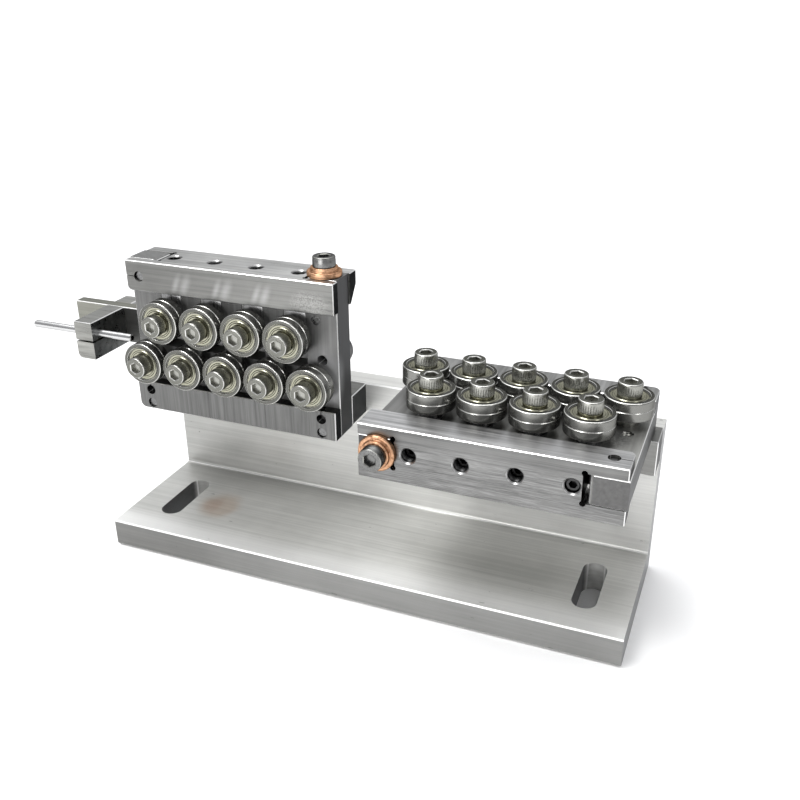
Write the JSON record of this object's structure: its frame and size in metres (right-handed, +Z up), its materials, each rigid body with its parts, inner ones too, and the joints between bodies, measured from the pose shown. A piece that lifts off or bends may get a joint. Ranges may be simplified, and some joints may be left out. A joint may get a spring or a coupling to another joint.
{
  "type": "roller wire straightener",
  "caption": "Two-plane roller wire straightener on a slotted angle bracket, with hinged clamp beams, screw-set rollers and an inlet guide tube.",
  "frame": {"origin": "on the underside of the bracket's foot, midway between its two slots", "axes": "+X is the way the wire travels, from the upright unit to the flat one; +Y points from the foot's front edge to the upright flange; +Z is up"},
  "size_m": [0.252, 0.0802, 0.1226],
  "materials": {
    "bracket_aluminium": "milled and brushed along its length",
    "ground_steel": "surface ground",
    "slider_steel": "surface ground",
    "roller_steel": "polished bearing steel",
    "screw_steel": "bright plated",
    "clamp_screw_steel": "satin",
    "set_screw_steel": "dark oxide",
    "pin_steel": "ground",
    "tube_steel": "drawn",
    "washer_copper": "turned bronze"
  },
  "bodies": {
    "frame": {"angle_bracket": "bracket_aluminium", "block_screws": "screw_steel", "guide_strip": "ground_steel", "guide_arm": "ground_steel", "guide_tube": "tube_steel", "guide_screws": "screw_steel", "plate_screws": "screw_steel", "rail_pins": "pin_steel", "hinge_pins": "pin_steel", "dowel_pins": "pin_steel", "rear_screws": "screw_steel", "fixed_axle_screws": "screw_steel", "fixed_inner_rings": "screw_steel", "fixed_spacers": "screw_steel", "upright_mounting_block": "ground_steel", "upright_body_plate": "ground_steel", "upright_rail": "ground_steel", "flat_mounting_block": "ground_steel", "flat_body_plate": "ground_steel", "flat_rail": "ground_steel"},
    "upright_beam": {"upright_beam": "ground_steel"},
    "upright_clamp_washer": {"upright_clamp_washer": "washer_copper"},
    "upright_clamp_screw": {"upright_clamp_screw": "clamp_screw_steel"},
    "upright_fixed_roller_1": {"upright_fixed_roller_1": "roller_steel"},
    "upright_fixed_roller_2": {"upright_fixed_roller_2": "roller_steel"},
    "upright_fixed_roller_3": {"upright_fixed_roller_3": "roller_steel"},
    "upright_fixed_roller_4": {"upright_fixed_roller_4": "roller_steel"},
    "upright_fixed_roller_5": {"upright_fixed_roller_5": "roller_steel"},
    "upright_slider_1": {"upright_slider_1": "slider_steel"},
    "upright_moving_roller_1": {"upright_moving_roller_1": "roller_steel"},
    "upright_set_screw_1": {"upright_set_screw_1": "set_screw_steel"},
    "upright_slider_2": {"upright_slider_2": "slider_steel"},
    "upright_moving_roller_2": {"upright_moving_roller_2": "roller_steel"},
    "upright_set_screw_2": {"upright_set_screw_2": "set_screw_steel"},
    "upright_slider_3": {"upright_slider_3": "slider_steel"},
    "upright_moving_roller_3": {"upright_moving_roller_3": "roller_steel"},
    "upright_set_screw_3": {"upright_set_screw_3": "set_screw_steel"},
    "upright_slider_4": {"upright_slider_4": "slider_steel"},
    "upright_moving_roller_4": {"upright_moving_roller_4": "roller_steel"},
    "upright_set_screw_4": {"upright_set_screw_4": "set_screw_steel"},
    "flat_beam": {"flat_beam": "ground_steel"},
    "flat_clamp_washer": {"flat_clamp_washer": "washer_copper"},
    "flat_clamp_screw": {"flat_clamp_screw": "clamp_screw_steel"},
    "flat_fixed_roller_1": {"flat_fixed_roller_1": "roller_steel"},
    "flat_fixed_roller_2": {"flat_fixed_roller_2": "roller_steel"},
    "flat_fixed_roller_3": {"flat_fixed_roller_3": "roller_steel"},
    "flat_fixed_roller_4": {"flat_fixed_roller_4": "roller_steel"},
    "flat_fixed_roller_5": {"flat_fixed_roller_5": "roller_steel"},
    "flat_slider_1": {"flat_slider_1": "slider_steel"},
    "flat_moving_roller_1": {"flat_moving_roller_1": "roller_steel"},
    "flat_set_screw_1": {"flat_set_screw_1": "set_screw_steel"},
    "flat_slider_2": {"flat_slider_2": "slider_steel"},
    "flat_moving_roller_2": {"flat_moving_roller_2": "roller_steel"},
    "flat_set_screw_2": {"flat_set_screw_2": "set_screw_steel"},
    "flat_slider_3": {"flat_slider_3": "slider_steel"},
    "flat_moving_roller_3": {"flat_moving_roller_3": "roller_steel"},
    "flat_set_screw_3": {"flat_set_screw_3": "set_screw_steel"},
    "flat_slider_4": {"flat_slider_4": "slider_steel"},
    "flat_moving_roller_4": {"flat_moving_roller_4": "roller_steel"},
    "flat_set_screw_4": {"flat_set_screw_4": "set_screw_steel"}
  },
  "joints": [
    {"name": "upright_beam_hinge", "type": "hinge", "parent": "frame", "child": "upright_beam", "pos_m": [-0.0962, 0.00325, 0.1089], "axis": [0, -1, 0], "range_deg": [0, 100]},
    {"name": "upright_clamp_lift", "type": "slide", "parent": "upright_beam", "child": "upright_clamp_washer", "axis": [0, 0, 1], "range_m": [0, 0.0096]},
    {"name": "upright_clamp_turn", "type": "hinge", "parent": "upright_clamp_washer", "child": "upright_clamp_screw", "pos_m": [-0.0203, 0.0085, 0.1151], "axis": [0, 0, 1], "range_deg": [0, 4320]},
    {"name": "upright_fixed_roller_1_spin", "type": "hinge", "parent": "frame", "child": "upright_fixed_roller_1", "pos_m": [-0.0946, -0.0039, 0.0749], "axis": [0, -1, 0], "continuous": true},
    {"name": "upright_fixed_roller_2_spin", "type": "hinge", "parent": "frame", "child": "upright_fixed_roller_2", "pos_m": [-0.0765, -0.0039, 0.0749], "axis": [0, -1, 0], "continuous": true},
    {"name": "upright_fixed_roller_3_spin", "type": "hinge", "parent": "frame", "child": "upright_fixed_roller_3", "pos_m": [-0.0584, -0.0039, 0.0749], "axis": [0, -1, 0], "continuous": true},
    {"name": "upright_fixed_roller_4_spin", "type": "hinge", "parent": "frame", "child": "upright_fixed_roller_4", "pos_m": [-0.0403, -0.0039, 0.0749], "axis": [0, -1, 0], "continuous": true},
    {"name": "upright_fixed_roller_5_spin", "type": "hinge", "parent": "frame", "child": "upright_fixed_roller_5", "pos_m": [-0.0222, -0.0039, 0.0749], "axis": [0, -1, 0], "continuous": true},
    {"name": "upright_set_screw_1_turn", "type": "hinge", "parent": "upright_beam", "child": "upright_set_screw_1", "pos_m": [-0.0851, 0.0085, 0.1087], "axis": [0, 0, -1], "range_deg": [0, 1350]},
    {"name": "upright_slider_1_slide", "type": "slide", "parent": "frame", "child": "upright_slider_1", "axis": [0, 0, -1], "range_m": [0, 0.003]},
    {"name": "upright_moving_roller_1_spin", "type": "hinge", "parent": "upright_slider_1", "child": "upright_moving_roller_1", "pos_m": [-0.0851, -0.0039, 0.0931], "axis": [0, -1, 0], "continuous": true},
    {"name": "upright_set_screw_2_turn", "type": "hinge", "parent": "upright_beam", "child": "upright_set_screw_2", "pos_m": [-0.067, 0.0085, 0.1087], "axis": [0, 0, -1], "range_deg": [0, 1350]},
    {"name": "upright_slider_2_slide", "type": "slide", "parent": "frame", "child": "upright_slider_2", "axis": [0, 0, -1], "range_m": [0, 0.003]},
    {"name": "upright_moving_roller_2_spin", "type": "hinge", "parent": "upright_slider_2", "child": "upright_moving_roller_2", "pos_m": [-0.067, -0.0039, 0.0931], "axis": [0, -1, 0], "continuous": true},
    {"name": "upright_set_screw_3_turn", "type": "hinge", "parent": "upright_beam", "child": "upright_set_screw_3", "pos_m": [-0.0489, 0.0085, 0.1087], "axis": [0, 0, -1], "range_deg": [0, 1350]},
    {"name": "upright_slider_3_slide", "type": "slide", "parent": "frame", "child": "upright_slider_3", "axis": [0, 0, -1], "range_m": [0, 0.003]},
    {"name": "upright_moving_roller_3_spin", "type": "hinge", "parent": "upright_slider_3", "child": "upright_moving_roller_3", "pos_m": [-0.0489, -0.0039, 0.0931], "axis": [0, -1, 0], "continuous": true},
    {"name": "upright_set_screw_4_turn", "type": "hinge", "parent": "upright_beam", "child": "upright_set_screw_4", "pos_m": [-0.0308, 0.0085, 0.1087], "axis": [0, 0, -1], "range_deg": [0, 1350]},
    {"name": "upright_slider_4_slide", "type": "slide", "parent": "frame", "child": "upright_slider_4", "axis": [0, 0, -1], "range_m": [0, 0.003]},
    {"name": "upright_moving_roller_4_spin", "type": "hinge", "parent": "upright_slider_4", "child": "upright_moving_roller_4", "pos_m": [-0.0308, -0.0039, 0.0931], "axis": [0, -1, 0], "continuous": true},
    {"name": "flat_beam_hinge", "type": "hinge", "parent": "frame", "child": "flat_beam", "pos_m": [0.0946, -0.0288, 0.07685], "axis": [0, 0, 1], "range_deg": [0, 100]},
    {"name": "flat_clamp_lift", "type": "slide", "parent": "flat_beam", "child": "flat_clamp_washer", "axis": [0, -1, 0], "range_m": [0, 0.0096]},
    {"name": "flat_clamp_turn", "type": "hinge", "parent": "flat_clamp_washer", "child": "flat_clamp_screw", "pos_m": [0.0187, -0.035, 0.0716], "axis": [0, -1, 0], "range_deg": [0, 4320]},
    {"name": "flat_fixed_roller_1_spin", "type": "hinge", "parent": "frame", "child": "flat_fixed_roller_1", "pos_m": [0.093, 0.0052, 0.084], "axis": [0, 0, 1], "continuous": true},
    {"name": "flat_fixed_roller_2_spin", "type": "hinge", "parent": "frame", "child": "flat_fixed_roller_2", "pos_m": [0.0749, 0.0052, 0.084], "axis": [0, 0, 1], "continuous": true},
    {"name": "flat_fixed_roller_3_spin", "type": "hinge", "parent": "frame", "child": "flat_fixed_roller_3", "pos_m": [0.0568, 0.0052, 0.084], "axis": [0, 0, 1], "continuous": true},
    {"name": "flat_fixed_roller_4_spin", "type": "hinge", "parent": "frame", "child": "flat_fixed_roller_4", "pos_m": [0.0387, 0.0052, 0.084], "axis": [0, 0, 1], "continuous": true},
    {"name": "flat_fixed_roller_5_spin", "type": "hinge", "parent": "frame", "child": "flat_fixed_roller_5", "pos_m": [0.0206, 0.0052, 0.084], "axis": [0, 0, 1], "continuous": true},
    {"name": "flat_set_screw_1_turn", "type": "hinge", "parent": "flat_beam", "child": "flat_set_screw_1", "pos_m": [0.0835, -0.0286, 0.0716], "axis": [0, 1, 0], "range_deg": [0, 1350]},
    {"name": "flat_slider_1_slide", "type": "slide", "parent": "frame", "child": "flat_slider_1", "axis": [0, 1, 0], "range_m": [0, 0.003]},
    {"name": "flat_moving_roller_1_spin", "type": "hinge", "parent": "flat_slider_1", "child": "flat_moving_roller_1", "pos_m": [0.0835, -0.013, 0.084], "axis": [0, 0, 1], "continuous": true},
    {"name": "flat_set_screw_2_turn", "type": "hinge", "parent": "flat_beam", "child": "flat_set_screw_2", "pos_m": [0.0654, -0.0286, 0.0716], "axis": [0, 1, 0], "range_deg": [0, 1350]},
    {"name": "flat_slider_2_slide", "type": "slide", "parent": "frame", "child": "flat_slider_2", "axis": [0, 1, 0], "range_m": [0, 0.003]},
    {"name": "flat_moving_roller_2_spin", "type": "hinge", "parent": "flat_slider_2", "child": "flat_moving_roller_2", "pos_m": [0.0654, -0.013, 0.084], "axis": [0, 0, 1], "continuous": true},
    {"name": "flat_set_screw_3_turn", "type": "hinge", "parent": "flat_beam", "child": "flat_set_screw_3", "pos_m": [0.0473, -0.0286, 0.0716], "axis": [0, 1, 0], "range_deg": [0, 1350]},
    {"name": "flat_slider_3_slide", "type": "slide", "parent": "frame", "child": "flat_slider_3", "axis": [0, 1, 0], "range_m": [0, 0.003]},
    {"name": "flat_moving_roller_3_spin", "type": "hinge", "parent": "flat_slider_3", "child": "flat_moving_roller_3", "pos_m": [0.0473, -0.013, 0.084], "axis": [0, 0, 1], "continuous": true},
    {"name": "flat_set_screw_4_turn", "type": "hinge", "parent": "flat_beam", "child": "flat_set_screw_4", "pos_m": [0.0292, -0.0286, 0.0716], "axis": [0, 1, 0], "range_deg": [0, 1350]},
    {"name": "flat_slider_4_slide", "type": "slide", "parent": "frame", "child": "flat_slider_4", "axis": [0, 1, 0], "range_m": [0, 0.003]},
    {"name": "flat_moving_roller_4_spin", "type": "hinge", "parent": "flat_slider_4", "child": "flat_moving_roller_4", "pos_m": [0.0292, -0.013, 0.084], "axis": [0, 0, 1], "continuous": true}
  ],
  "couplings": [
    {"joint": "upright_clamp_turn", "follows": "upright_clamp_lift", "rad_per_m": 7854},
    {"joint": "upright_set_screw_1_turn", "follows": "upright_slider_1_slide", "rad_per_m": 7854},
    {"joint": "upright_set_screw_2_turn", "follows": "upright_slider_2_slide", "rad_per_m": 7854},
    {"joint": "upright_set_screw_3_turn", "follows": "upright_slider_3_slide", "rad_per_m": 7854},
    {"joint": "upright_set_screw_4_turn", "follows": "upright_slider_4_slide", "rad_per_m": 7854},
    {"joint": "flat_clamp_turn", "follows": "flat_clamp_lift", "rad_per_m": 7854},
    {"joint": "flat_set_screw_1_turn", "follows": "flat_slider_1_slide", "rad_per_m": 7854},
    {"joint": "flat_set_screw_2_turn", "follows": "flat_slider_2_slide", "rad_per_m": 7854},
    {"joint": "flat_set_screw_3_turn", "follows": "flat_slider_3_slide", "rad_per_m": 7854},
    {"joint": "flat_set_screw_4_turn", "follows": "flat_slider_4_slide", "rad_per_m": 7854}
  ]
}
